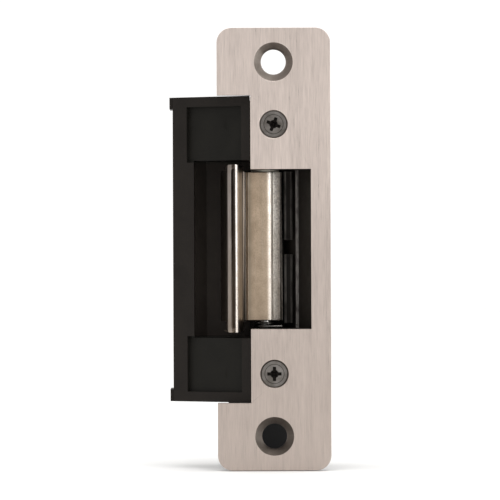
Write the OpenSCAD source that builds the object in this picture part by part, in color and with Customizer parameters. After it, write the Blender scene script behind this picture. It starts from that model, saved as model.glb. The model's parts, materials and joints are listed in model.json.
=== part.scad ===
// Electric door strike: a notched faceplate, a housing with a solenoid lock, and a keeper that
// swings out of the latch's way. Millimetres. +X is away from the lip side, +Y is into the jamb,
// +Z is up the faceplate. The origin is the centre of the faceplate's back face.

/* [Faceplate] */
// Height of the faceplate
plate_h = 123.825; // [116:0.005:130]
// Width of the faceplate
plate_w = 31.75; // [30.5:0.05:34]
// Thickness of the faceplate
plate_t = 3; // [2.8:0.1:3.4]
// Radius of the faceplate's outer corners
plate_corner_r = 4.2; // [1:0.1:8]
// Distance between the two mounting holes
mount_spacing = 104.775; // [100:0.005:108]
// Radius of a mounting hole
mount_r = 3.5; // [2.8:0.1:3.8]
// Largest radius of a mounting hole's countersink
mount_sink_r = 5.48; // [5:0.01:5.8]
// Distance between the two screws that hold the faceplate to the housing
body_screw_spacing = 69.85; // [66:0.05:73]
// Height of the notch in the faceplate's left edge
notch_h = 86.16; // [86.1:0.02:87]
// Height of the latch opening
opening_h = 44.8; // [44.4:0.1:45]
// Right edge of the latch opening
opening_right = 10.4; // [10.2:0.1:11]

/* [Shroud] */
// Left edge of the lip shroud
shroud_left = -28.5; // [-31:0.1:-27]
// Height of the lip shroud
shroud_h = 86; // [84.8:0.1:86]
// Height of the channel that the keeper swings into
channel_h = 50; // [49:0.2:51]
// Left wall of that channel
channel_left = -22.5; // [-23.5:0.1:-22.4]
// Depth of the recessed faces above and below the channel
face_recess = 1.5; // [0.8:0.1:2]

/* [Keeper] */
// Lip's lower end
lip_z0 = -23.4; // [-23.8:0.1:-22]
// Lip's upper end
lip_z1 = 23.7; // [22.5:0.1:24]
// Hub's lower end
hub_z0 = -20.3; // [-20.4:0.1:-19]
// Hub's upper end
hub_z1 = 21.95; // [21:0.05:22]
// Radius of the hub
hub_r = 4.45; // [4.2:0.05:4.5]
// Radius of the keeper pin
pin_r = 2; // [1.8:0.05:2.1]
// Running clearance of the keeper on its pin
pin_gap = 0.05; // [0.02:0.01:0.09]

/* [Solenoid] */
// Radius of the coil's flanges
coil_r = 6; // [5.6:0.1:6]
// Radius of the plunger
plunger_r = 3; // [2.6:0.1:3]
// How far the coil pulls the plunger
stroke = 2.5; // [2:0.1:2.6]
// Radius of the spring wire
spring_wire_r = 0.25; // [0.2:0.01:0.3]

/* [Hidden] */
$fn = 64;

// Countersinks are 82 degrees across, so a cone's radius changes by this much per millimetre.
sink_slope = tan(41);
notch_right = -6.5;
screw_r = 1.95;
screw_hole_r = 2;
body_screw_z = body_screw_spacing / 2;

// Housing
housing_w = 30.4;
housing_h = 85.2;
wall = 1.6;
front_left = -6.6;
shelf_y = 23.6;
shelf_t = 2;
rear_y = 36.8;
cover_t = 1.5;
web_y0 = 20.6;
web_y1 = 21.4;
pocket_z = 22.4;
end_wall = 2;
half_w = housing_w / 2;
half_h = housing_h / 2;
inner_x = half_w - wall;
inner_z = half_h - wall;

// Shroud: its front slopes from beside the faceplate back to its left edge.
shroud_right = -6.65;
slope_y0 = -1.2;
slope_y1 = 11.2;
floor_y = 21.9;
shroud_z = shroud_h / 2;
channel_z = channel_h / 2;
ear = 0.9;

// Keeper pin's place, the keeper's flat face, its spring's upper leg, and the tooth on it that
// the lock lever stops
pin_x = -2.3;
pin_y = 15;
flat_y = 10.55;
flat_end_x = -3.2;
spring_leg_x = -5.2;
tooth_z0 = 4;
tooth_z1 = 12;

// Solenoid and lock lever
coil_x = -1.2;
coil_y = 28;
coil_z0 = -33.4;
coil_z1 = -7;
frame_t = 1.4;
plunger_z0 = -23.6;
plunger_z1 = 4.8;
plunger_groove_z = -1.95;
bobbin_bore_r = plunger_r + 0.08;
lever_x0 = -2.3;
lever_x1 = -0.1;
lever_y = 34.2;
lever_z = 1;
link_y = coil_y;
link_z = lever_z + stroke / 2;
lever_pin_r = 1.5;
link_pin_r = 1;

// Electronics
board_x = 9.8;
board_t = 1.2;
contact_x = 0;
contact_ys = [27.5, 31.5];
contact_z1 = -39.5;
connector_z0 = -60;

// Fastener places
shroud_screw_x = -11;
shroud_screw_z = 35;
frame_screw_x = -11.2;
frame_screw_zs = [-29, -12];
cover_screw_x = 12.2;
cover_screw_z = 39.7;
board_screw_y = 29;
board_screw_zs = [-34.5, 1];
connector_screw_x = 10.4;
connector_y = 29.5;

black = [0.13, 0.12, 0.115];
steel = [0.8, 0.78, 0.75];
nickel = [0.66, 0.58, 0.48];

/* Shapes that repeat */

// A box from one corner to the other along each axis
module block(x, y, z) {
  translate([x[0], y[0], z[0]]) cube([x[1] - x[0], y[1] - y[0], z[1] - z[0]]);
}

// An outline drawn in X and Y, made solid from z0 to z1
module plan(z0, z1) {
  translate([0, 0, z0]) linear_extrude(z1 - z0) children();
}

// An outline drawn in X and Z, made solid from y0 to y1
module front(y0, y1) {
  translate([0, y1, 0]) rotate([90, 0, 0]) linear_extrude(y1 - y0) children();
}

// An outline drawn in Y and Z, made solid from x0 to x1
module side(x0, x1) {
  translate([x0, 0, 0]) rotate([90, 0, 90]) linear_extrude(x1 - x0) children();
}

module rod_x(r, y, z, x0, x1) {
  translate([x0, y, z]) rotate([0, 90, 0]) cylinder(r = r, h = x1 - x0);
}

module rod_y(r, x, z, y0, y1, r_end = 0) {
  translate([x, y0, z]) rotate([-90, 0, 0])
    cylinder(r1 = r, r2 = r_end > 0 ? r_end : r, h = y1 - y0);
}

module rod_z(r, x, y, z0, z1) {
  translate([x, y, z0]) cylinder(r = r, h = z1 - z0);
}

// A flat outline with square sides and round corners
module rounded(x0, z0, x1, z1, r) {
  translate([x0 + r, z0]) square([x1 - x0 - 2 * r, z1 - z0]);
  translate([x0, z0 + r]) square([x1 - x0, z1 - z0 - 2 * r]);
  for (x = [x0 + r, x1 - r], z = [z0 + r, z1 - r])
    translate([x, z]) circle(r);
}

// A flat bar with round ends between two points
module bar(a, b, w) {
  reach = b - a;
  translate(a) circle(w / 2);
  translate(b) circle(w / 2);
  translate(a) rotate(atan2(reach[1], reach[0]))
    translate([0, -w / 2]) square([norm(reach), w]);
}

// A cross recess sunk from y = 0 towards +Y
module cross_recess(r, depth, turn) {
  rotate([0, turn, 0]) union() {
    for (a = [0, 90])
      rotate([0, a, 0]) translate([-r, -0.01, -r * 0.23]) cube([2 * r, depth * 0.6, r * 0.46]);
    rotate([-90, 0, 0]) translate([0, 0, -0.01]) cylinder(r1 = r * 0.6, r2 = r * 0.16, h = depth);
  }
}

// A round-head screw whose head's underside is at y = 0, and whose shank runs to -Y
module pan_screw(head_r, head_h, shank_r, length) {
  difference() {
    union() {
      rod_y(shank_r, 0, 0, -length, 0);
      rod_y(head_r, 0, 0, 0, head_h * 0.55);
      rod_y(head_r, 0, 0, head_h * 0.55, head_h, head_r * 0.72);
    }
    translate([0, head_h, 0]) rotate([0, 0, 180]) cross_recess(head_r * 0.55, head_h * 0.7, 0);
  }
}

// A tube of round wire along a list of points, with 8 sides
module wire(points, r) {
  n = len(points);
  sides = 8;
  function along(i) = points[min(i + 1, n - 1)] - points[max(i - 1, 0)];
  function unit(v) = v / norm(v);
  function across(i) = unit(cross(along(i), [0.13, 0.21, 0.97]));
  ring = [for (i = [0:n - 1], k = [0:sides - 1])
    let (u = across(i), v = unit(cross(along(i), u)), a = 360 * k / sides)
      points[i] + r * (cos(a) * u + sin(a) * v)];
  skin = [for (i = [0:n - 2], k = [0:sides - 1], half = [0, 1])
    let (a = i * sides + k, b = i * sides + (k + 1) % sides)
      half == 0 ? [a, a + sides, b + sides] : [a, b + sides, b]];
  start = [for (k = [0:sides - 1]) k];
  finish = [for (k = [0:sides - 1]) n * sides - 1 - k];
  polyhedron(ring, concat(skin, [start], [finish]));
}

// An insulated lead that leaves a along one arm and comes in to b along the other
module lead(a, arm_a, b, arm_b, r) {
  steps = 14;
  c = a + arm_a;
  d = b + arm_b;
  wire([for (i = [0:steps])
    let (t = i / steps, u = 1 - t)
      u * u * u * a + 3 * u * u * t * c + 3 * u * t * t * d + t * t * t * b], r);
}

/* Faceplate */

module countersink(z, r_front, r_hole) {
  depth = (r_front - r_hole) / sink_slope;
  rod_y(r_front, 0, z, -plate_t, depth - plate_t, r_hole);
  rod_y(r_hole, 0, z, -plate_t, 1);
  rod_y(r_front, 0, z, -plate_t - 1, -plate_t);
}

module faceplate() {
  color(steel) difference() {
    front(-plate_t, 0) difference() {
      rounded(-plate_w / 2, -plate_h / 2, plate_w / 2, plate_h / 2, plate_corner_r);
      translate([-plate_w, -notch_h / 2]) square([plate_w + notch_right, notch_h]);
      translate([-plate_w, -opening_h / 2]) square([plate_w + opening_right, opening_h]);
    }
    for (s = [-1, 1]) {
      countersink(s * mount_spacing / 2, mount_sink_r, mount_r);
      countersink(s * body_screw_z, 4.05, 2.2);
    }
  }
}

// A flat-head screw with a shallow ring turned in its head
module faceplate_screw(z, turn) {
  head_r = 3.6;
  ring_r = 2.8;
  head_y = 0.2 - plate_t;
  cone_y = -plate_t + (4.05 - head_r) / sink_slope;
  shank_y = cone_y + (head_r - screw_r) / sink_slope;
  ring_y = head_y + 0.12;
  difference() {
    translate([0, 0, z]) rotate([-90, 0, 0]) rotate_extrude()
      polygon([[0, head_y], [ring_r - 0.2, head_y], [ring_r - 0.2, ring_y], [ring_r, ring_y],
        [ring_r, head_y], [head_r, head_y], [head_r, cone_y], [screw_r, shank_y], [screw_r, 10],
        [0, 10]]);
    translate([0, head_y, z]) cross_recess(2, 1.7, turn);
  }
}

module faceplate_screws() {
  color([0.42, 0.4, 0.38]) {
    faceplate_screw(body_screw_z, 22);
    faceplate_screw(-body_screw_z, 0);
  }
}

/* Housing */

module housing_outer() {
  block([front_left, half_w], [0, shelf_y + 0.1], [-half_h, half_h]);
  block([-half_w, half_w], [shelf_y, rear_y], [-half_h, half_h]);
}

// The room at the back for the solenoid and the board
module rear_room() {
  block([-inner_x, inner_x], [shelf_y + shelf_t, rear_y + 1], [-inner_z, inner_z]);
  block([front_left + 1, inner_x], [web_y1, rear_y], [-inner_z, inner_z]);
  block([-8.9, front_left + 1], [shelf_y - 0.1, rear_y], [coil_z0 - 0.3, coil_z1 + 0.3]);
  for (s = [-1, 1])
    block([front_left + 0.9, inner_x], [3, rear_y],
      s > 0 ? [pocket_z + end_wall, inner_z] : [-inner_z, -pocket_z - end_wall]);
  block([8.6, inner_x], [13, rear_y], [-pocket_z - end_wall - 1, pocket_z + end_wall + 1]);
}

// The latch pocket's outline seen from above: its right wall slopes in to a rib, then drops.
module pocket_outline() {
  rib_x = 6.2;
  polygon([[front_left - 1, -1], [opening_right, -1], [opening_right, 0.5], [7.3, 9],
    [7, 10], [rib_x, 10.4], [rib_x, 16], [4.5, 17.2], [2.9, web_y0],
    [front_left - 1, web_y0]]);
}

module pocket() {
  plan(-pocket_z, pocket_z) pocket_outline();
}

// Two raised pads on the pocket's floor beside the hub, each with a sunk middle
module pads() {
  rim = 0.7;
  for (z = [[2.6, 22], [-21, -1.5]])
    difference() {
      plan(z[0], z[1]) polygon([[3, 14], [3.4, 13.6], [5, 13.6], [5.4, 14], [5.4, 18], [3, 20]]);
      block([3.7, 4.7], [13, 14.5], [z[0] + rim, z[1] - rim]);
    }
}

// A round bead down the pocket's rib
module bead() {
  bead_r = 0.42;
  x = 6.62;
  y = 10.35;
  rod_z(bead_r, x, y, -21.2, 22);
  translate([x, y, -21.2]) sphere(bead_r);
}

module housing_bosses() {
  for (s = [-1, 1]) {
    rod_y(4.2, 0, s * body_screw_z, 0.1, 13);
    for (x = [-cover_screw_x, cover_screw_x])
      rod_y(2, x, s * cover_screw_z, shelf_y, rear_y);
    rod_z(pin_r + 2, pin_x, pin_y, s > 0 ? pocket_z : -25, s > 0 ? 25.6 : -pocket_z);
  }
  for (z = board_screw_zs)
    rod_x(2, board_screw_y, z, board_x + board_t, inner_x + 0.1);
  for (s = [-1, 1])
    rod_z(2, s * connector_screw_x, connector_y, -inner_z - 0.1, -38);
}

module housing() {
  color(black) difference() {
    union() {
      difference() {
        housing_outer();
        rear_room();
        pocket();
      }
      pads();
      bead();
      housing_bosses();
    }
    for (s = [-1, 1]) {
      rod_y(screw_hole_r, 0, s * body_screw_z, -1, 11);
      rod_y(1.3, shroud_screw_x, s * shroud_screw_z, shelf_y - 1, shelf_y + shelf_t + 1);
      for (x = [-cover_screw_x, cover_screw_x])
        rod_y(1.25, x, s * cover_screw_z, 31, rear_y + 1);
      rod_z(1.25, s * connector_screw_x, connector_y, -half_h - 1, -39);
    }
    rod_z(pin_r + 0.02, pin_x, pin_y, -30, 25);
    for (z = frame_screw_zs)
      rod_y(1.25, frame_screw_x, z, shelf_y - 1, shelf_y + shelf_t + 1);
    for (z = board_screw_zs)
      rod_x(1.05, board_screw_y, z, board_x, 14.4);
    for (y = contact_ys)
      rod_z(1.2, contact_x, y, -half_h - 1, -inner_z + 1);
    block([-6, 4.6], [web_y0 - 1, web_y1 + 1], [tooth_z0 - 0.8, tooth_z1 + 0.8]);
  }
}

/* Lip shroud */

// Depth of the shroud's sloping front at a given x
function slope_y(x) =
  slope_y0 + (slope_y1 - slope_y0) * (shroud_right - x) / (shroud_right - shroud_left);

module shroud_outline() {
  polygon([[shroud_right, slope_y0], [shroud_right, shelf_y], [shroud_left, shelf_y],
    [shroud_left, slope_y1]]);
}

// The recessed faces stop at a rim on three sides and run out into the channel.
module shroud_face_recess(s) {
  left = -23.9;
  right = -9.1;
  z0 = channel_z - 0.5;
  z1 = shroud_z - 2.8;
  plan(s > 0 ? z0 : -z1, s > 0 ? z1 : -z0)
    polygon([[right, slope_y(right) - 1], [right, slope_y(right) + face_recess],
      [left, slope_y(left) + face_recess], [left - 0.6, slope_y(left - 0.6)],
      [left - 0.6, slope_y(left - 0.6) - 1]]);
}

// Each end is cored out from behind.
module shroud_core(s) {
  skin = face_recess + 1.8;
  z0 = channel_z + 1.8;
  z1 = shroud_z - 1.8;
  plan(s > 0 ? z0 : -z1, s > 0 ? z1 : -z0)
    polygon([[shroud_right - 1.6, slope_y(shroud_right - 1.6) + skin],
      [shroud_right - 1.6, shelf_y + 1], [shroud_left + 1.8, shelf_y + 1],
      [shroud_left + 1.8, slope_y(shroud_left + 1.8) + skin]]);
}

module lip_shroud() {
  color(black) difference() {
    union() {
      difference() {
        plan(-shroud_z, shroud_z) shroud_outline();
        plan(-channel_z, channel_z)
          polygon([[channel_left, -5], [channel_left, 18.5], [channel_left + 3.4, floor_y],
            [shroud_right + 1, floor_y], [shroud_right + 1, -5]]);
        plan(-channel_z, channel_z)
          polygon([[shroud_left + 1.8, slope_y(shroud_left) + 2.4],
            [channel_left - 1.8, slope_y(channel_left) + 4], [channel_left - 1.8, shelf_y + 1],
            [shroud_left + 1.8, shelf_y + 1]]);
        for (s = [-1, 1]) {
          shroud_face_recess(s);
          shroud_core(s);
        }
      }
      for (s = [-1, 1])
        rod_y(2.8, shroud_screw_x, s * shroud_screw_z, 4, shelf_y);
      block([shroud_left - ear, shroud_left + 1], [slope_y1 + 0.4, shelf_y], [39.8, shroud_z]);
      block([shroud_left - ear, shroud_left + 1], [slope_y1 + 0.4, shelf_y], [-shroud_z, -39.6]);
    }
    for (s = [-1, 1])
      rod_y(1.25, shroud_screw_x, s * shroud_screw_z, 12, shelf_y + 1);
  }
}

module shroud_screws() {
  color([0.55, 0.55, 0.56])
    for (s = [-1, 1])
      translate([shroud_screw_x, shelf_y + shelf_t, s * shroud_screw_z])
        pan_screw(2.2, 1.6, 1.2, 10);
}

/* Keeper */

// The web between the lip and the hub, with the flat that faces the latch
module keeper_web_outline() {
  polygon([[-12.9, -0.6], [-13.5, 3], [-14.3, 6.5], [-15, 9.5], [-14, 11.6], [-11.6, 13.4],
    [-8.5, 15.3], [-6.4, 16.6], [-5.2, 18.4], [pin_x, pin_y], [flat_end_x, flat_y],
    [-7.4, flat_y], [-7.55, 9.2], [-8.5, 8.7], [-9.45, 3], [-9.9, -0.6]]);
}

// The hub: round behind, and in front the flat bends over to a flank with a rounded edge.
module keeper_hub_outline() {
  bend_r = 13;
  bend_x = -0.4;
  flank_y = 11;
  edge_x = 1.75;
  edge_y = 12.2;
  edge_r = 0.45;
  translate([pin_x, pin_y]) circle(hub_r);
  intersection() {
    translate([flat_end_x, flat_y + bend_r]) circle(bend_r);
    translate([flat_end_x, flat_y - 1]) square([bend_x - flat_end_x, pin_y - flat_y + 1]);
  }
  polygon([[bend_x, flank_y], [edge_x - 0.15, edge_y - edge_r + 0.02], [edge_x, edge_y],
    [edge_x + edge_r, edge_y], [edge_x + edge_r, pin_y], [bend_x, pin_y]]);
  translate([edge_x, edge_y]) circle(edge_r);
}

module keeper_lip_outline() {
  polygon([[-13.06, -1], [-12.8, -1.6], [-11.75, -2.35], [-10.95, -2.6], [-10.4, -2.6],
    [-10.1, -2.35], [-9.9, -1.7], [-9.85, -0.6], [-9.45, 3], [-8.6, 8], [-13, 8], [-13.4, 2.4]]);
}

// A groove runs down the lip's tip and stops short of both ends.
module keeper_lip_groove() {
  plan(lip_z0 + 1.1, lip_z1 - 1.3)
    polygon([[-11.9, -3], [-11.9, -1.7], [-11.65, -1.4], [-11.35, -1.4], [-11.1, -1.7], [-11.1, -3]]);
}

module keeper_tooth_outline() {
  translate([pin_x, pin_y]) polygon([[-0.3, 3], [-0.3, 8.2], [-0.7, 8.45], [-1.6, 8.3],
    [-1.9, 7.9], [-2.6, 3]]);
}

module keeper() {
  color(nickel) difference() {
    union() {
      plan(hub_z0, hub_z1) {
        keeper_web_outline();
        keeper_hub_outline();
      }
      intersection() {
        plan(lip_z0, lip_z1) keeper_lip_outline();
        front(-3, 9) rounded(-13.6, lip_z0, -8.4, lip_z1, 1.1);
      }
      plan(tooth_z0, tooth_z1) keeper_tooth_outline();
    }
    keeper_lip_groove();
    rod_z(pin_r + pin_gap, pin_x, pin_y, hub_z0 - 1, hub_z1 + 1);
    rod_z(0.5, spring_leg_x, pin_y, hub_z0 - 1, hub_z0 + 2);
  }
}

module keeper_pin() {
  color(steel) difference() {
    union() {
      rod_z(pin_r, pin_x, pin_y, -27, 25);
      translate([pin_x, pin_y, -27.4]) cylinder(r1 = pin_r - 0.4, r2 = pin_r, h = 0.41);
    }
    difference() {
      rod_z(pin_r + 1, pin_x, pin_y, -26, -25.3);
      rod_z(pin_r - 0.4, pin_x, pin_y, -26, -25.3);
    }
  }
}

// A C-shaped retaining clip: a ring with a mouth
module clip(r_in, r_out, mouth, turn) {
  rotate(turn) difference() {
    circle(r_out);
    circle(r_in);
    translate([0, -mouth / 2]) square([r_out + 1, mouth]);
  }
}

module keeper_pin_clip() {
  color([0.3, 0.3, 0.32]) plan(-25.95, -25.35)
    translate([pin_x, pin_y]) clip(pin_r - 0.35, pin_r + 1.25, 2.2, 60);
}

module keeper_washer() {
  color([0.92, 0.9, 0.84]) plan(hub_z1 + 0.06, pocket_z - 0.06)
    translate([pin_x, pin_y]) difference() {
      circle(4);
      circle(pin_r + 0.06);
    }
}

// A torsion spring: one leg goes up into the keeper, the other reaches out to the housing.
module keeper_spring() {
  coil_mean_r = 2.9;
  wire_r = 0.42;
  z_top = hub_z0 - 0.5;
  drop = 1.15;
  turns = 1.25;
  steps = 30;
  circle_points = [for (i = [0:steps])
    let (t = i / steps, a = 180 + 360 * turns * t)
      [pin_x + coil_mean_r * cos(a), pin_y + coil_mean_r * sin(a), z_top - drop * t]];
  low = z_top - drop;
  color(steel) {
    wire(concat(circle_points, [[pin_x + 1.4, pin_y - 3.1, low], [pin_x + 4.6, pin_y - 3.3, low]]),
      wire_r);
    rod_z(wire_r, spring_leg_x, pin_y, z_top, hub_z0 + 1.6);
  }
}

/* Lock lever */

// A flat three-cornered lever: it turns on one corner, the link pin drives the second, and the
// third is the nose that stops the keeper's tooth.
module lock_lever() {
  pivot = [lever_y, lever_z];
  link = [link_y, link_z];
  nose = [26.1, 11.5];
  corner_r = 2.1;
  color([0.62, 0.6, 0.55]) side(lever_x0, lever_x1) difference() {
    union() {
      bar(pivot, link, 2 * corner_r);
      bar(link, nose, 2 * corner_r);
      bar(nose, pivot, 2 * corner_r);
      polygon([pivot, link, nose]);
    }
    translate(pivot) circle(lever_pin_r + 0.05);
    bar(link - [0.25, 0], link + [0.25, 0], 2 * link_pin_r + 0.2);
  }
}

module lever_pin() {
  color(steel) rod_x(lever_pin_r, lever_y, lever_z, -4.6, 2.2);
}

/* Solenoid */

module solenoid_frame() {
  left = -8.6;
  right = 4.8;
  y0 = 24.2;
  y1 = 34.2;
  ear_y0 = 32.3;
  ear_outer = 4.6;
  color([0.7, 0.72, 0.7]) difference() {
    union() {
      block([left, left + 1.2], [y0, y1], [coil_z0, coil_z1]);
      block([left, right], [y0, y1], [coil_z0, coil_z0 + frame_t]);
      block([left, right], [y0, y1], [coil_z1 - frame_t, coil_z1]);
      for (x = [[-4.2, -2.9], [0.5, 1.8]]) {
        block(x, [ear_y0, y1], [coil_z1 - frame_t, lever_z - 1]);
        side(x[0], x[1]) intersection() {
          translate([lever_y, lever_z]) circle(2.5);
          translate([ear_y0, lever_z - 3]) square([ear_outer, 6]);
        }
        block(x, [ear_y0, 36.4], [coil_z1 + 1, lever_z]);
      }
      for (z = frame_screw_zs)
        block([-13.4, left + 1], [shelf_y + shelf_t, shelf_y + shelf_t + frame_t], [z - 2.8, z + 2.8]);
    }
    rod_z(plunger_r + 0.2, coil_x, coil_y, coil_z1 - frame_t - 1, coil_z1 + 0.01);
    rod_z(1.5, coil_x, coil_y, coil_z0 - 1, coil_z0 + frame_t + 1);
    rod_x(lever_pin_r + 0.02, lever_y, lever_z, -6, 4);
    for (z = frame_screw_zs)
      rod_y(1.3, frame_screw_x, z, shelf_y, shelf_y + shelf_t + frame_t + 1);
  }
}

module frame_screws() {
  color([0.55, 0.55, 0.56])
    for (z = frame_screw_zs)
      translate([frame_screw_x, shelf_y + shelf_t + frame_t, z]) pan_screw(2.1, 1.4, 1.2, 3.2);
}

module bobbin() {
  z0 = coil_z0 + frame_t;
  z1 = coil_z1 - frame_t;
  color([0.9, 0.88, 0.8]) difference() {
    union() {
      rod_z(bobbin_bore_r + 0.8, coil_x, coil_y, z0, z1);
      rod_z(coil_r, coil_x, coil_y, z0, z0 + 1);
      rod_z(coil_r, coil_x, coil_y, z1 - 1, z1);
    }
    rod_z(bobbin_bore_r, coil_x, coil_y, z0 - 1, z1 + 1);
  }
}

module coil_winding() {
  z0 = coil_z0 + frame_t + 1.02;
  z1 = coil_z1 - frame_t - 1.02;
  color([0.72, 0.36, 0.16]) difference() {
    rod_z(coil_r - 0.3, coil_x, coil_y, z0, z1);
    rod_z(bobbin_bore_r + 0.82, coil_x, coil_y, z0 - 1, z1 + 1);
  }
}

module pole_piece() {
  color(steel) {
    rod_z(bobbin_bore_r - 0.02, coil_x, coil_y, coil_z0 + frame_t, plunger_z0 - stroke - 0.3);
    rod_z(1.48, coil_x, coil_y, coil_z0, coil_z0 + frame_t + 0.1);
    rod_z(2.4, coil_x, coil_y, coil_z0 - 0.8, coil_z0);
  }
}

module plunger() {
  slot_z = link_z - 3.6;
  color([0.74, 0.74, 0.76]) difference() {
    rod_z(plunger_r, coil_x, coil_y, plunger_z0, plunger_z1);
    block([lever_x0 - 0.35, lever_x1 + 0.35], [coil_y - 4, coil_y + 4], [slot_z, plunger_z1 + 1]);
    rod_x(link_pin_r + 0.02, link_y, link_z, -6, 4);
    difference() {
      rod_z(plunger_r + 1, coil_x, coil_y, plunger_groove_z, plunger_groove_z + 0.7);
      rod_z(plunger_r - 0.4, coil_x, coil_y, plunger_groove_z, plunger_groove_z + 0.7);
    }
  }
}

module plunger_clip() {
  color([0.3, 0.3, 0.32]) plan(plunger_groove_z + 0.05, plunger_groove_z + 0.65)
    translate([coil_x, coil_y]) clip(plunger_r - 0.36, plunger_r + 1.2, 2.6, 0);
}

module plunger_spring() {
  turns = 3;
  steps = 54;
  mean_r = plunger_r + 0.65;
  z0 = coil_z1 + spring_wire_r;
  z1 = plunger_groove_z + 0.05 - spring_wire_r;
  color(steel) wire([for (i = [0:steps])
    let (t = i / steps, a = 360 * turns * t)
      [coil_x + mean_r * cos(a), coil_y + mean_r * sin(a), z0 + (z1 - z0) * t]], spring_wire_r);
}

module link_pin() {
  color(steel) rod_x(link_pin_r, link_y, link_z, coil_x - 3.2, coil_x + 3.2);
}

/* Electronics */

// Each coil lead leaves the edge of the bobbin's upper flange, and ends at the board below it.
module coil_leads() {
  flange_z = coil_z1 - frame_t - 0.5;
  joint_z = -11.6;
  color([0.75, 0.1, 0.08])
    for (y = [25, 26.2])
      lead([coil_x + sqrt(pow(coil_r, 2) - pow(coil_y - y, 2)) + 0.25, y, flange_z], [2, 0, 0],
        [board_x - 0.1, y, joint_z], [-3, 0, 0], 0.4);
}

module circuit_board() {
  color([0.1, 0.32, 0.16]) difference() {
    block([board_x, board_x + board_t], [23.6, 34.6], [-37.4, 4.4]);
    for (z = board_screw_zs)
      rod_x(1.3, board_screw_y, z, board_x - 1, board_x + board_t + 1);
  }
}

module rectifier() {
  color([0.1, 0.1, 0.11]) {
    block([board_x - 2.6, board_x - 0.5], [26.5, 31.5], [-7.5, -2.5]);
    for (y = [27.2, 30.2], z = [-8.4, -2.5])
      block([board_x - 0.9, board_x], [y, y + 0.6], [z, z + 0.9]);
  }
}

module varistor() {
  color([0.15, 0.3, 0.6]) {
    rod_x(3.2, 29, -15, board_x - 3.2, board_x - 0.8);
    for (y = [27.6, 30.4])
      rod_x(0.3, y, -15, board_x - 1, board_x);
  }
}

module capacitor() {
  color([0.16, 0.16, 0.2]) {
    rod_z(2, board_x - 2.3, 29.4, -30.5, -21);
    for (z = [-28, -23.5])
      rod_x(0.3, 29.4, z, board_x - 0.9, board_x);
  }
}

module board_screws() {
  color([0.55, 0.55, 0.56])
    for (z = board_screw_zs)
      translate([board_x, board_screw_y, z]) rotate([0, 0, 90]) pan_screw(1.8, 1.2, 1, 4.2);
}

module connector_housing() {
  flange_z = -half_h - 1.6;
  color([0.09, 0.09, 0.1]) difference() {
    union() {
      block([-8, 8], [23.4, 35.6], [connector_z0, flange_z + 0.1]);
      block([-13, 13], [25.4, 33.6], [flange_z, -half_h]);
      block([-3, 3], [35.5, 36.4], [connector_z0, -48]);
    }
    block([-6, 6], [25, 34], [connector_z0 - 1, -47]);
    for (y = contact_ys)
      rod_z(0.82, contact_x, y, -48, -half_h + 1);
    for (s = [-1, 1])
      rod_z(1.3, s * connector_screw_x, connector_y, flange_z - 1, -half_h + 1);
  }
}

module connector_contacts() {
  color([0.8, 0.65, 0.3])
    for (y = contact_ys) {
      rod_z(0.8, contact_x, y, connector_z0 + 2, contact_z1);
      translate([contact_x, y, connector_z0 + 1.4]) cylinder(r1 = 0.4, r2 = 0.8, h = 0.61);
    }
}

module connector_screws() {
  color([0.55, 0.55, 0.56])
    for (s = [-1, 1])
      translate([s * connector_screw_x, connector_y, -half_h - 1.6])
        rotate([-90, 0, 0]) pan_screw(2.1, 1.4, 1.2, 5);
}

// The leads spread a little on their way from the contacts to the board's lower end.
module connector_leads() {
  joint_ys = [25.35, 30.23];
  joint_z = -36.8;
  color([0.15, 0.15, 0.16])
    for (i = [0, 1])
      lead([contact_x, contact_ys[i], contact_z1 + 0.08], [0, 0, 3],
        [board_x - 0.15, joint_ys[i], joint_z], [-4, 0, 0], 0.45);
}

/* Rear cover */

module rear_cover() {
  color([0.2, 0.2, 0.2]) difference() {
    front(rear_y, rear_y + cover_t) difference() {
      rounded(-half_w, -half_h, half_w, half_h, 1.5);
      for (x = [-cover_screw_x, cover_screw_x], s = [-1, 1])
        translate([x, s * cover_screw_z]) circle(1.35);
    }
    front(rear_y + 0.9, rear_y + cover_t + 1) rounded(-9, -33, 9, 33, 2);
  }
}

module cover_screws() {
  color([0.55, 0.55, 0.56])
    for (x = [-cover_screw_x, cover_screw_x], s = [-1, 1])
      translate([x, rear_y + cover_t, s * cover_screw_z]) pan_screw(2.1, 1.4, 1.2, 7);
}

faceplate();
faceplate_screws();
housing();
lip_shroud();
shroud_screws();
keeper();
keeper_pin();
keeper_pin_clip();
keeper_washer();
keeper_spring();
lock_lever();
lever_pin();
plunger();
plunger_clip();
plunger_spring();
link_pin();
solenoid_frame();
frame_screws();
bobbin();
coil_winding();
pole_piece();
coil_leads();
circuit_board();
rectifier();
varistor();
capacitor();
board_screws();
connector_housing();
connector_contacts();
connector_screws();
connector_leads();
rear_cover();
cover_screws();
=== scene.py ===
import json
import math

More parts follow.
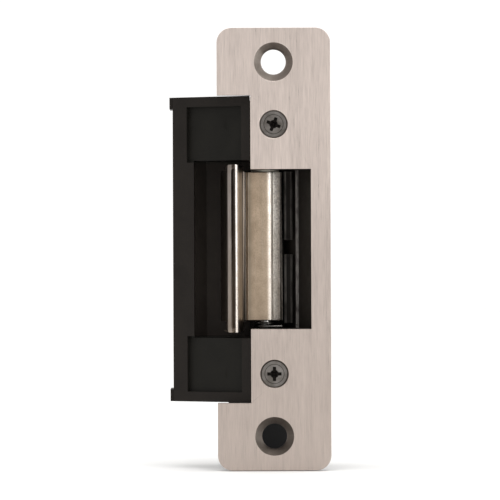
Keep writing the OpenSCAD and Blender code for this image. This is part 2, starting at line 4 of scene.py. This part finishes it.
import bmesh
import bpy
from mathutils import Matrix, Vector


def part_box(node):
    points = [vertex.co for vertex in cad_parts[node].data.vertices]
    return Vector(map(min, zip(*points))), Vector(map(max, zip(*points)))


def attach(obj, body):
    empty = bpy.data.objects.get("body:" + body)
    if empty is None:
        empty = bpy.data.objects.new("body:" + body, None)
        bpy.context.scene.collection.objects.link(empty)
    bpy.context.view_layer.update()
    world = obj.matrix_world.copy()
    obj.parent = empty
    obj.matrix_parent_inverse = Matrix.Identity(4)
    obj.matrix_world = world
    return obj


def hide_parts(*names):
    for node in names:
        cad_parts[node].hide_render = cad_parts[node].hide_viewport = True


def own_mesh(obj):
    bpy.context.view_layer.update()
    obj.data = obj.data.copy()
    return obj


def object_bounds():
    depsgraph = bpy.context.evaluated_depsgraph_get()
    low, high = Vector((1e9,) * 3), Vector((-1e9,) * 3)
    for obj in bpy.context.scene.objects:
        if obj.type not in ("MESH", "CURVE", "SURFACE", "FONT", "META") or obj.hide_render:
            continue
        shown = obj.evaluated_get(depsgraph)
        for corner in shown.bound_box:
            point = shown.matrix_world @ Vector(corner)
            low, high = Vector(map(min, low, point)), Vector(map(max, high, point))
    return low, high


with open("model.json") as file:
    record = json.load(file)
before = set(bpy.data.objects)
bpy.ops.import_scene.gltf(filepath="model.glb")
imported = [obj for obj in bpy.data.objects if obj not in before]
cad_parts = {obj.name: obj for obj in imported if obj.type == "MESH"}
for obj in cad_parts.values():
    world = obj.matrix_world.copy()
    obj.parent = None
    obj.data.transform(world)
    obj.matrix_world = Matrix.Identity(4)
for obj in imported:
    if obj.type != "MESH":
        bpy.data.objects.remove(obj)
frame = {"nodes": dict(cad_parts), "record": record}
cad_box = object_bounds()
nodes = frame["nodes"]
MM = 0.001
plate_low, plate_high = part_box("faceplate")
centre = (plate_low + plate_high) / 2


# ---------------------------------------------------------------- material helpers

def map_range(tree, value, limits, curve):
    """Maps a value from the first two limits to the last two, along a straight or an eased curve."""
    node = tree.nodes.new("ShaderNodeMapRange")
    node.interpolation_type = curve
    tree.links.new(value, node.inputs["Value"])
    for name, number in zip(("From Min", "From Max", "To Min", "To Max"), limits):
        node.inputs[name].default_value = number
    return node.outputs["Result"]


class Shader:
    """A material with one Principled shader, and short ways to add the nodes that feed it."""

    def __init__(self, name, color, metallic=0.0, roughness=0.5, **sockets):
        self.material = bpy.data.materials.new(name)
        self.material.use_nodes = True
        self.tree = self.material.node_tree
        self.tree.nodes.clear()
        self.surface = self.add("ShaderNodeBsdfPrincipled")
        output = self.add("ShaderNodeOutputMaterial")
        self.link(self.surface.outputs["BSDF"], output.inputs["Surface"])
        self.put("Base Color", (*color, 1))
        self.put("Metallic", metallic)
        self.put("Roughness", roughness)
        for socket, value in sockets.items():
            self.put(socket.replace("_", " "), value)
        self.material.diffuse_color = (*color, 1)
        self.coords = self.add("ShaderNodeTexCoord").outputs["Object"]

    def add(self, kind, **properties):
        made = self.tree.nodes.new(kind)
        for name, value in properties.items():
            setattr(made, name, value)
        return made

    def link(self, a, b):
        self.tree.links.new(a, b)

    def put(self, socket, value):
        """Sets one of the shader's sockets to a number, a colour or another node's output."""
        target = self.surface.inputs[socket]
        if isinstance(value, bpy.types.NodeSocket):
            self.link(value, target)
        else:
            target.default_value = value

    def scaled(self, per_metre):
        """The object's coordinates times a number along each axis."""
        node = self.add("ShaderNodeMapping")
        node.inputs["Scale"].default_value = per_metre
        self.link(self.coords, node.inputs["Vector"])
        return node.outputs["Vector"]

    def noise(self, per_metre, detail=3.0, roughness=0.55):
        node = self.add("ShaderNodeTexNoise")
        self.link(self.scaled(per_metre), node.inputs["Vector"])
        node.inputs["Scale"].default_value = 1.0
        node.inputs["Detail"].default_value = detail
        node.inputs["Roughness"].default_value = roughness
        return node.outputs["Fac"]

    def cells(self, per_metre):
        node = self.add("ShaderNodeTexVoronoi")
        self.link(self.scaled(per_metre), node.inputs["Vector"])
        node.inputs["Scale"].default_value = 1.0
        return node.outputs["Distance"]

    def waves(self, per_metre, axis, distortion):
        node = self.add("ShaderNodeTexWave", bands_direction=axis, wave_profile="SIN")
        self.link(self.scaled(per_metre), node.inputs["Vector"])
        node.inputs["Scale"].default_value = 1.0
        node.inputs["Distortion"].default_value = distortion
        return node.outputs["Fac"]

    def along(self, axis, low, high, curve="SMOOTHSTEP"):
        """0 to 1 as the object's own X, Y or Z goes from low to high, in metres."""
        split = self.add("ShaderNodeSeparateXYZ")
        self.link(self.coords, split.inputs["Vector"])
        return self.span(split.outputs[axis], low, high, curve=curve)

    def within(self, **limits):
        """1 between two limits on each axis given, in millimetres, and 0 outside them."""
        fade = 0.05
        inside = 1.0
        for axis, (low, high) in limits.items():
            for outer, inner in ((low - fade, low + fade), (high + fade, high - fade)):
                inside = self.math("MULTIPLY", inside, self.along(axis, outer * MM, inner * MM))
        return inside

    def span(self, value, low, high, to_low=0.0, to_high=1.0, curve="SMOOTHSTEP"):
        return map_range(self.tree, value, (low, high, to_low, to_high), curve)

    def ramp(self, value, stops):
        node = self.add("ShaderNodeValToRGB")
        node.color_ramp.elements[0].position = stops[0][0]
        node.color_ramp.elements[1].position = stops[-1][0]
        for position, _ in stops[1:-1]:
            node.color_ramp.elements.new(position)
        for element, (_, color) in zip(node.color_ramp.elements, stops):
            element.color = (*color, 1)
        self.link(value, node.inputs["Fac"])
        return node.outputs["Color"]

    def math(self, operation, a, b):
        node = self.add("ShaderNodeMath", operation=operation)
        for socket, value in zip(node.inputs, (a, b)):
            if isinstance(value, bpy.types.NodeSocket):
                self.link(value, socket)
            else:
                socket.default_value = value
        return node.outputs["Value"]

    def mix(self, amount, a, b, blend="MIX"):
        node = self.add("ShaderNodeMix", data_type="RGBA", blend_type=blend)
        colour_a, colour_b = node.inputs[6], node.inputs[7]
        for socket, value in ((node.inputs["Factor"], amount), (colour_a, a), (colour_b, b)):
            if isinstance(value, bpy.types.NodeSocket):
                self.link(value, socket)
            else:
                socket.default_value = value if isinstance(value, (int, float)) else (*value, 1)
        return node.outputs[2]

    def bump(self, height, depth, strength=1.0):
        node = self.add("ShaderNodeBump")
        node.inputs["Strength"].default_value = strength
        node.inputs["Distance"].default_value = depth
        self.link(height, node.inputs["Height"])
        self.link(node.outputs["Normal"], self.surface.inputs["Normal"])


def tinted(color, factor):
    """The colour, darker or brighter by a factor."""
    return tuple(min(1.0, c * factor) for c in color)


# ---------------------------------------------------------------- materials

FINE, COARSE = 0.01 * MM, 0.03 * MM  # depths of the surface grain
POCKET_Z = (-22.3, 22.3)  # the pocket's lower and upper end, in millimetres
BLACK = (0.0155, 0.0130, 0.0112)


def brushed_plate():
    """Satin stainless steel, brushed along Z, with painted shade on its cut faces, lighter on their
    left by a painted reflection, and painted shade darkening it towards its lower end.
    """
    base = (0.80, 0.695, 0.635)
    s = Shader("plate_brushed", base, metallic=1.0, roughness=0.34)
    fine = s.noise((4600, 300, 150), detail=4, roughness=0.75)
    broad = s.noise((800, 200, 20), detail=3)
    streaks = s.math("ADD", s.math("MULTIPLY", fine, 0.75), s.math("MULTIPLY", broad, 0.25))
    grain = s.ramp(streaks, [(0.32, tinted(base, 0.80)), (0.5, base), (0.68, tinted(base, 1.12))])
    smudge = s.span(s.noise((90, 90, 45), detail=4), 0.42, 0.72)
    tone = s.mix(s.math("MULTIPLY", smudge, 0.25), grain, tinted(base, 0.88))
    # Painted shade on the faces cut into the plate (edges, holes and countersinks), with a painted
    # reflection that lightens their left side.
    cut = s.along("Y", plate_low.y + 0.02 * MM, plate_low.y + 0.06 * MM)
    turned = s.noise((260, 260, 260), detail=2)
    across = s.along("X", centre.x - 8 * MM, centre.x + 2 * MM)
    side = s.math("ADD", across, s.span(turned, 0.3, 0.7, -0.2, 0.2))
    painted_cut_shade = s.ramp(side, [(0.0, (0.46, 0.41, 0.37)), (0.45, (0.27, 0.235, 0.205)),
                         (1.0, (0.19, 0.16, 0.14))])
    tone = s.mix(cut, tone, painted_cut_shade)
    # Painted shade: the plate is darker towards its lower end.
    painted_shade_downwards = s.along("Z", 45 * MM, -60 * MM)
    s.put("Base Color", s.mix(painted_shade_downwards, tone, (0.63, 0.62, 0.61), "MULTIPLY"))
    satin = s.span(streaks, 0.3, 0.7, 0.27, 0.42)
    s.put("Roughness", s.math("ADD", satin, s.math("MULTIPLY", cut, 0.12)))
    s.bump(streaks, 0.02 * MM, 0.35)
    return s.material


def machined(name, color, roughness=0.3, grain=(1500, 1500, 1500), wear_and_painted_glint=0.2):
    """Bare or plated steel with a fine grain, dull patches and brighter flecks."""
    s = Shader(name, color, metallic=1.0, roughness=roughness)
    marks = s.noise(grain, detail=5, roughness=0.7)
    patch = s.noise((260, 260, 260), detail=3)
    dull = s.mix(s.math("MULTIPLY", s.span(patch, 0.45, 0.7), wear_and_painted_glint), color, tinted(color, 0.62))
    bright = s.math("MULTIPLY", s.span(marks, 0.55, 0.75), 0.5)
    s.put("Base Color", s.mix(bright, dull, tinted(color, 1.3)))
    s.put("Roughness", s.span(marks, 0.3, 0.7, roughness * 0.75, roughness * 1.35))
    s.bump(marks, FINE, 0.4)
    return s.material


def powder_coat(name, color, painted_recess_light=None, sunk=None, wear_and_painted_glint=(), roughness=0.5):
    """Black coating over a casting with an orange-peel skin. It has painted light that makes it paler
    deep in its recess (low x, high x, low z, high z, factor), darker and greener sunk faces (low x,
    high x, low z, high z), and painted highlights along given edges (low x, high x, low y, high y,
    colour), in millimetres."""
    s = Shader(name, color, roughness=roughness, Specular_IOR_Level=0.10)
    peel = s.noise((1500, 1500, 1500), detail=2, roughness=0.5)
    cloud = s.noise((130, 130, 130), detail=4, roughness=0.6)
    speck = s.noise((2200, 2200, 2200), detail=3, roughness=0.7)
    tone = s.ramp(cloud, [(0.3, tinted(color, 0.86)), (0.7, tinted(color, 1.16))])
    # Painted light: surfaces deep in the recess are made paler, where little light reaches.
    if painted_recess_light:
        region = s.within(X=painted_recess_light[:2], Z=painted_recess_light[2:4])
        inside = s.math("MULTIPLY", s.along("Y", 12.5 * MM, 18.5 * MM), region)
        tone = s.mix(inside, tone, s.mix(1.0, tone, (painted_recess_light[4],) * 3, "MULTIPLY"))
    tone = s.mix(s.math("MULTIPLY", s.span(speck, 0.6, 0.75), 0.4), tone, tinted(color, 2.0))
    # The sunk faces are darker and a little greener.
    if sunk:
        for side in (1, -1):
            inside = s.within(X=sunk[:2], Z=sorted((side * sunk[2], side * sunk[3])))
            tone = s.mix(inside, tone, s.mix(1.0, tone, (0.72, 0.80, 0.78), "MULTIPLY"))
    # Painted highlights: the given places along edges take a lighter colour.
    for x0, x1, y0, y1, painted_glint_colour in wear_and_painted_glint:
        inside = s.within(X=(x0, x1), Y=(y0, y1), Z=POCKET_Z)
        patchy = s.span(s.noise((600, 600, 220), detail=4), 0.35, 0.6, 0.35, 1.0)
        tone = s.mix(s.math("MULTIPLY", inside, patchy), tone, painted_glint_colour)
    s.put("Base Color", tone)
    s.put("Roughness", s.span(cloud, 0.3, 0.7, roughness - 0.05, roughness + 0.09))
    s.bump(peel, COARSE, 0.5)
    return s.material


def nickel_casting():
    """Nickel over a cast keeper, in bands across X that carry painted light: painted highlights on the
    lip's rounded top, on a ledge and on the hub's bend and flank, painted shade at the lip's foot, in
    its groove and on its inner wall, and a brown flat darkened towards the lip by painted shade. The
    whole is mottled, with drawn streaks, flecks and a rough flank on the hub, and painted shade
    darkens it downwards."""
    s = Shader("keeper_nickel", (0.6, 0.5, 0.4), metallic=1.0, roughness=0.3)
    left, right = -15, 5
    across = s.along("X", left * MM, right * MM, "LINEAR")
    # Painted light: these bands set the nickel's tone across X together with painted highlights,
    # reflections and shade.
    painted_light_bands = [
        (-13.3, (0.07, 0.06, 0.05)), (-12.8, (0.24, 0.215, 0.20)), (-11.9, (0.32, 0.29, 0.27)),
        (-11.7, (0.045, 0.035, 0.03)), (-10.9, (0.04, 0.03, 0.025)), (-10.72, (0.90, 0.86, 0.82)),
        (-9.95, (0.88, 0.84, 0.80)), (-9.7, (0.22, 0.20, 0.18)), (-9.4, (0.14, 0.125, 0.11)),
        (-8.8, (0.18, 0.16, 0.14)), (-8.5, (0.11, 0.095, 0.08)), (-8.2, (0.62, 0.55, 0.48)),
        (-8.0, (0.95, 0.84, 0.72)), (-7.6, (0.85, 0.72, 0.58)), (-7.3, (0.34, 0.28, 0.22)),
        (-7.1, (0.30, 0.245, 0.19)), (-6.3, (0.48, 0.375, 0.275)), (-5.3, (0.60, 0.465, 0.34)),
        (-1.9, (0.66, 0.53, 0.40)), (-1.25, (1.0, 0.95, 0.88)), (-0.6, (1.0, 0.96, 0.90)),
        (0.1, (1.0, 0.96, 0.90)), (1.0, (0.94, 0.89, 0.83)), (2.2, (0.62, 0.58, 0.53))]
    nickel_with_painted_light = s.ramp(across, [((x - left) / (right - left), tone) for x, tone in painted_light_bands])
    cast = s.noise((1700, 1700, 1300), detail=3, roughness=0.6)
    blotch = s.noise((380, 380, 240), detail=4, roughness=0.6)
    fleck = s.noise((3400, 3400, 2400), detail=3, roughness=0.7)
    drawn = s.noise((1900, 900, 60), detail=4, roughness=0.6)
    mottle = s.ramp(blotch, [(0.32, (0.80, 0.78, 0.75)), (0.68, (1.12, 1.12, 1.12))])
    tone = s.mix(1.0, nickel_with_painted_light, mottle, "MULTIPLY")
    tone = s.mix(s.math("MULTIPLY", s.span(fleck, 0.40, 0.68), 0.32), tone, (0.22, 0.17, 0.13))
    tone = s.mix(s.math("MULTIPLY", s.span(drawn, 0.52, 0.78), 0.20), tone, (0.80, 0.75, 0.69))
    # Painted shade: darker and browner towards the keeper's lower end.
    painted_shade_lower = s.math("MULTIPLY", s.along("Z", 22 * MM, -26 * MM), 0.36)
    tone = s.mix(painted_shade_lower, tone, (0.30, 0.235, 0.175))
    flank = s.along("X", -0.6 * MM, 0.3 * MM)
    pocks = s.math("MULTIPLY", s.span(cast, 0.46, 0.62), s.math("MULTIPLY", flank, 0.36))
    s.put("Base Color", s.mix(pocks, tone, (0.26, 0.235, 0.21)))
    satin = s.span(fleck, 0.2, 0.8, 0.27, 0.34)
    s.put("Roughness", s.math("ADD", satin, s.math("MULTIPLY", flank, 0.16)))
    rough = s.math("ADD", s.math("MULTIPLY", fleck, 0.4), s.math("MULTIPLY", cast, 0.6))
    s.bump(s.math("MULTIPLY", rough, s.span(flank, 0, 1, 0.12, 1.6)), 0.05 * MM, 0.5)
    return s.material


def moulded(name, color, roughness=0.45, per_metre=2200):
    """Moulded plastic: a fine spark-eroded skin and slight shade changes."""
    s = Shader(name, color, roughness=roughness, Specular_IOR_Level=0.4)
    skin = s.noise((per_metre,) * 3, detail=3)
    cloud = s.noise((120, 120, 120), detail=3)
    tone = s.ramp(cloud, [(0.3, tinted(color, 0.9)), (0.7, tinted(color, 1.1))])
    raised = s.math("MULTIPLY", s.span(skin, 0.5, 0.8), 0.4)
    s.put("Base Color", s.mix(raised, tone, tinted(color, 1.35)))
    s.put("Roughness", s.span(skin, 0.3, 0.7, roughness - 0.06, roughness + 0.08))
    s.bump(skin, FINE, 0.4)
    return s.material


def circuit_green():
    """Solder mask with the faint relief of the tracks under it."""
    s = Shader("board_mask", (0.03, 0.16, 0.07), roughness=0.35, Specular_IOR_Level=0.5)
    tracks = s.span(s.waves((0, 420, 40), "Y", distortion=0.6), 0.45, 0.55)
    weave = s.cells((900, 900, 900))
    tone = s.mix(tracks, (0.02, 0.12, 0.05), (0.04, 0.20, 0.09))
    s.put("Base Color", s.mix(s.math("MULTIPLY", weave, 0.2), tone, (0.02, 0.10, 0.05)))
    s.put("Roughness", s.span(weave, 0.0, 0.8, 0.28, 0.42))
    s.bump(tracks, COARSE, 0.6)
    return s.material


def enamelled_copper():
    """Copper wire under a thin clear enamel, a little uneven in colour."""
    s = Shader("winding_copper", (0.55, 0.20, 0.08), metallic=0.9, roughness=0.28, Coat_Weight=0.6)
    shade = s.noise((500, 500, 900), detail=3)
    s.put("Base Color", s.ramp(shade, [(0.3, (0.42, 0.14, 0.05)), (0.7, (0.66, 0.27, 0.11))]))
    s.put("Roughness", s.span(shade, 0.3, 0.7, 0.2, 0.38))
    s.bump(s.noise((3000, 3000, 3000)), FINE, 0.4)
    return s.material


def head_screw():
    """A zinc-plated countersunk screw, with painted shade in its recess and round its rim."""
    s = Shader("head_zinc", (0.21, 0.19, 0.175), metallic=1.0, roughness=0.38)
    marks = s.noise((1500, 1500, 1500), detail=5, roughness=0.7)
    patch = s.noise((320, 320, 320), detail=3)
    face = s.ramp(patch, [(0.35, (0.16, 0.145, 0.13)), (0.65, (0.27, 0.25, 0.235))])
    face = s.mix(s.math("MULTIPLY", s.span(marks, 0.52, 0.72), 0.5), face, (0.42, 0.39, 0.36))
    # Painted shade: faces deeper than the head's face, in the recess and round the rim, are near
    # black.
    sunk = s.along("Y", plate_low.y + 0.10 * MM, plate_low.y + 0.45 * MM)
    s.put("Base Color", s.mix(sunk, face, (0.022, 0.019, 0.017)))
    dull = s.span(marks, 0.3, 0.7, 0.28, 0.5)
    s.put("Roughness", s.math("ADD", dull, s.math("MULTIPLY", sunk, 0.2)))
    s.bump(marks, FINE, 0.4)
    return s.material


looks = {
    "stainless": brushed_plate(),
    "screw_steel": machined("screw_zinc", (0.21, 0.19, 0.175), 0.38, wear_and_painted_glint=0.5),
    "zinc_steel": machined("zinc_plate", (0.60, 0.61, 0.60), 0.34, wear_and_painted_glint=0.3),
    "pin_steel": machined("ground_pin", (0.66, 0.64, 0.62), 0.22, (300, 300, 3500)),
    "spring_steel": machined("spring_wire", (0.58, 0.56, 0.54), 0.25, (2500, 2500, 2500)),
    "clip_steel": machined("clip_oxide", (0.07, 0.07, 0.075), 0.4),
    "black_casting": powder_coat("black_coat", BLACK, (-22.6, -6.8, -25.1, 25.1, 3.2),
                                 sunk=(-24.5, -9.1, 24.6, 40.2)),
    "cover_steel": powder_coat("cover_coat", (0.022, 0.021, 0.020), roughness=0.46),
    "nickel_casting": nickel_casting(),
    "nylon": moulded("nylon_white", (0.72, 0.68, 0.58), 0.4),
    "black_plastic": moulded("plastic_black", (0.012, 0.012, 0.013), 0.42),
    "varistor_blue": moulded("epoxy_blue", (0.03, 0.10, 0.32), 0.3, per_metre=900),
    "capacitor_sleeve": moulded("sleeve_dark", (0.02, 0.025, 0.06), 0.25),
    "lead_red": moulded("lead_red", (0.42, 0.02, 0.015), 0.38),
    "lead_black": moulded("lead_black", (0.015, 0.015, 0.015), 0.38),
    "contact_gold": machined("contact_plate", (0.80, 0.60, 0.28), 0.2),
    "copper_wire": enamelled_copper(),
    "board_green": circuit_green(),
}
by_node = {
    "faceplate_screws": head_screw(),
    # The last list paints highlights along the pocket's rib edge and along the pads' edges.
    "housing": powder_coat("housing_coat", BLACK, (-11, 11, -22.5, 22.5, 2.0), wear_and_painted_glint=[
        (6.15, 7.1, 9.8, 10.6, (0.21, 0.195, 0.185)), (2.95, 3.6, 13.5, 14.1, (0.13, 0.12, 0.11)),
        (4.8, 5.45, 13.5, 14.1, (0.09, 0.082, 0.075))]),
    "keeper_spring": machined("spring_oiled", (0.16, 0.15, 0.14), 0.3, (2500, 2500, 2500)),
}
slots = {row["node"]: row["material_slot"] for row in frame["record"]["subparts"]}
for name, node in nodes.items():
    node.data.materials.clear()
    node.data.materials.append(by_node.get(name, looks[slots[name]]))


# ---------------------------------------------------------------- rounded edges on the CAD nodes

SAME_PLACE = 1e-6  # vertices nearer than this are welded, in metres
SHARP = 38  # degrees between two faces


def soften(name, radius, clamp):
    """Rounds a node's sharp edges with modifiers, so that they catch the light."""
    node = nodes[name]
    weld = node.modifiers.new("weld", "WELD")
    weld.merge_threshold = SAME_PLACE
    bevel = node.modifiers.new("edge", "BEVEL")
    bevel.width = radius
    bevel.segments = 2
    bevel.limit_method = "ANGLE"
    bevel.angle_limit = math.radians(SHARP)
    bevel.use_clamp_overlap = clamp
    bevel.miter_outer = "MITER_ARC"
    shade = node.modifiers.new("shade", "WEIGHTED_NORMAL")
    shade.mode = "FACE_AREA"
    shade.weight = 100


for name, radius in (("faceplate", 0.24), ("housing", 0.22), ("lip_shroud", 0.22), ("keeper", 0.32),
                     ("rear_cover", 0.18), ("connector_housing", 0.25),
                     ("solenoid_frame", 0.12), ("lock_lever", 0.15), ("cover_screws", 0.08),
                     ("connector_screws", 0.08), ("rectifier", 0.1)):
    soften(name, radius * MM, clamp=name != "keeper")


# ---------------------------------------------------------------- round wire in place of the CAD's

def wire_piece(name, points, radius, material, body, sides=3):
    """A round wire through the points, in millimetres."""
    curve = bpy.data.curves.new(name, "CURVE")
    curve.dimensions = "3D"
    curve.bevel_depth = radius * MM
    curve.bevel_resolution = sides
    curve.use_fill_caps = True
    line = curve.splines.new("POLY")
    line.points.add(len(points) - 1)
    for place, point in zip(line.points, points):
        place.co = (*(v * MM for v in point), 1)
    line.use_smooth = True
    drawn = bpy.data.objects.new(name + "_line", curve)
    mesh = bpy.data.meshes.new_from_object(drawn)
    bpy.data.objects.remove(drawn)
    bpy.data.curves.remove(curve)
    mesh.materials.clear()
    mesh.materials.append(material)
    mesh.shade_smooth()
    piece = bpy.data.objects.new(name, mesh)
    bpy.context.scene.collection.objects.link(piece)
    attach(piece, body)
    return piece


def eased(points):
    """Cuts the corners of a line of points, so that the wire bends instead of folding."""
    cut = [points[0]]
    for a, b in zip(points, points[1:]):
        cut += [tuple(p * 0.75 + q * 0.25 for p, q in zip(a, b)),
                tuple(p * 0.25 + q * 0.75 for p, q in zip(a, b))]
    return cut + [points[-1]]


def turn(x, y, radius, degrees, z):
    """A point on a level circle round (x, y)."""
    angle = math.radians(degrees)
    return (x + radius * math.cos(angle), y + radius * math.sin(angle), z)


# The keeper's torsion spring: its upper leg stands in the hub, and its lower one rests on the housing.
pin = ((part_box("keeper_pin")[0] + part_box("keeper_pin")[1]) / 2) / MM
spring_low, spring_high = (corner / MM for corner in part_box("keeper_spring"))
KEEPER_WIRE, KEEPER_COIL = 0.42, 2.9  # radii of the wire and of the coil, in millimetres
COIL_FALL, COIL_SWEEP, COIL_STEPS = 1.15, 450, 90  # millimetres, degrees, points
bottom = spring_low.z + KEEPER_WIRE
start = bottom + COIL_FALL
coil = [turn(pin.x, pin.y, KEEPER_COIL, 180 + COIL_SWEEP * i / COIL_STEPS,
             start - COIL_FALL * i / COIL_STEPS) for i in range(COIL_STEPS + 1)]
leg_x = pin.x - KEEPER_COIL
legs_in = [(leg_x, pin.y, spring_high.z), (leg_x, pin.y, start + 0.5)]
legs_out = [(pin.x + 1.4, pin.y - 3.1, bottom), (pin.x + 4.6, pin.y - 3.3, bottom)]
fine = wire_piece("keeper_spring_wire", legs_in + eased(coil + legs_out), KEEPER_WIRE,
                  by_node["keeper_spring"], "keeper_body")
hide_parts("keeper_spring")

# The plunger's spring has closed ends. It is drawn at one length, though the real one shortens as the
# solenoid pulls.
low_end, high_end = (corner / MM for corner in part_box("plunger_spring"))
PLUNGER_WIRE, PLUNGER_COIL = 0.25, 3.65
CLOSED_END, OPEN_COIL, STEP = 180, 1080, 5  # degrees
foot, top = low_end.z + PLUNGER_WIRE, high_end.z - PLUNGER_WIRE
axis_x, axis_y = (low_end.x + high_end.x) / 2, (low_end.y + high_end.y) / 2
closed = []
for angle in range(-CLOSED_END, OPEN_COIL + CLOSED_END + STEP, STEP):
    rise = min(1.0, max(0.0, angle / OPEN_COIL))
    closed.append(turn(axis_x, axis_y, PLUNGER_COIL, angle, foot + (top - foot) * rise))
fine = wire_piece("plunger_spring_wire", closed, PLUNGER_WIRE, looks["spring_steel"], "strike_body")
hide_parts("plunger_spring")
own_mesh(fine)

# The outer layer of the winding, turn beside turn.
coil_low, coil_high = (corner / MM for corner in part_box("coil_winding"))
COIL_WIRE, WIRE_GAP, WIRE_SUNK, TURN_STEPS = 0.19, 0.02, 0.05, 30
coil_mid = (coil_low + coil_high) / 2
layer_r = (coil_high.x - coil_low.x) / 2 - WIRE_SUNK
layer_height = coil_high.z - coil_low.z - 2 * COIL_WIRE
steps = TURN_STEPS * int(layer_height / (2 * COIL_WIRE + WIRE_GAP))
layer = [turn(coil_mid.x, coil_mid.y, layer_r, 360 * i / TURN_STEPS,
              coil_low.z + COIL_WIRE + layer_height * i / steps) for i in range(steps + 1)]
wire_piece("coil_outer_layer", layer, COIL_WIRE, looks["copper_wire"], "strike_body", 1)


# ---------------------------------------------------------------- floor, light and camera

FLOOR_RADIUS, FLOOR_BACK, FLOOR_GAP = 1.6, 1.3, 0.0002  # metres
floor_mesh = bpy.data.meshes.new("floor")
bm = bmesh.new()
bmesh.ops.create_circle(bm, cap_ends=True, segments=96, radius=FLOOR_RADIUS)
bmesh.ops.translate(bm, verts=bm.verts, vec=(0, FLOOR_BACK, cad_box[0].z - FLOOR_GAP))
bm.to_mesh(floor_mesh)
bm.free()
floor = bpy.data.objects.new("floor", floor_mesh)
bpy.context.scene.collection.objects.link(floor)
paper = Shader("paper_white", (0.93, 0.93, 0.925), roughness=0.8, Specular_IOR_Level=0.1)
paper.bump(paper.noise((300, 300, 300)), 0.0001, 0.1)
floor.data.materials.append(paper.material)

world = bpy.data.worlds.new("studio")
world.use_nodes = True
bpy.context.scene.world = world
sky = world.node_tree
backdrop = sky.nodes["Background"]
direction = sky.nodes.new("ShaderNodeTexCoord")
parts = sky.nodes.new("ShaderNodeSeparateXYZ")
sky.links.new(direction.outputs["Generated"], parts.inputs["Vector"])
both = sky.nodes.new("ShaderNodeMath")
both.operation = "MULTIPLY"
# Paler behind than in front, and paler above than below.
for term, axis, limits in ((0, "Y", (-0.9, 0.6, 0.62, 1.05)), (1, "Z", (-0.3, 0.6, 0.86, 1.3))):
    sky.links.new(map_range(sky, parts.outputs[axis], limits, "LINEAR"), both.inputs[term])
sky.links.new(both.outputs["Value"], backdrop.inputs["Strength"])
backdrop.inputs["Color"].default_value = (1.0, 0.99, 0.98, 1)

WARM = (1.0, 0.98, 0.95)


def softbox(name, place, aim, width, height, power, color=(1, 1, 1)):
    """A rectangular area light, turned to face aim. Sizes are in metres and power is in watts."""
    data = bpy.data.lights.new(name, "AREA")
    data.shape = "RECTANGLE"
    data.size, data.size_y, data.energy, data.color = width, height, power, color
    made = bpy.data.objects.new(name, data)
    bpy.context.scene.collection.objects.link(made)
    made.location = place
    made.rotation_mode = "QUATERNION"
    made.rotation_quaternion = (Vector(aim) - Vector(place)).to_track_quat("-Z", "Y")


softbox("key_top", (0.1, -0.5, 1.2), centre, 0.9, 0.7, 6)
softbox("strip_right", (0.42, -1.1, 0.05), centre, 0.045, 0.7, 0.13, WARM)
softbox("fill_right", (0.64, -0.95, 0.05), centre, 0.22, 0.7, 1.6, WARM)

# The camera looks along Y at the front, a little left of the plate's middle.
CAMERA_AWAY, CAMERA_LEFT, CAMERA_DOWN, ROLL = 1.05, 6.71 * MM, 0.24 * MM, 0.22
camera_data = bpy.data.cameras.new("camera")
camera = bpy.data.objects.new("camera", camera_data)
bpy.context.scene.collection.objects.link(camera)
camera_data.sensor_width = 36
camera_data.lens = 270.4
camera_data.clip_start = 0.05
camera_data.clip_end = 50
camera.location = (centre.x - CAMERA_LEFT, plate_low.y - CAMERA_AWAY, centre.z - CAMERA_DOWN)
camera.rotation_euler = (math.radians(90), math.radians(ROLL), 0)
bpy.context.scene.camera = camera
bpy.context.scene.view_settings.view_transform = "Standard"
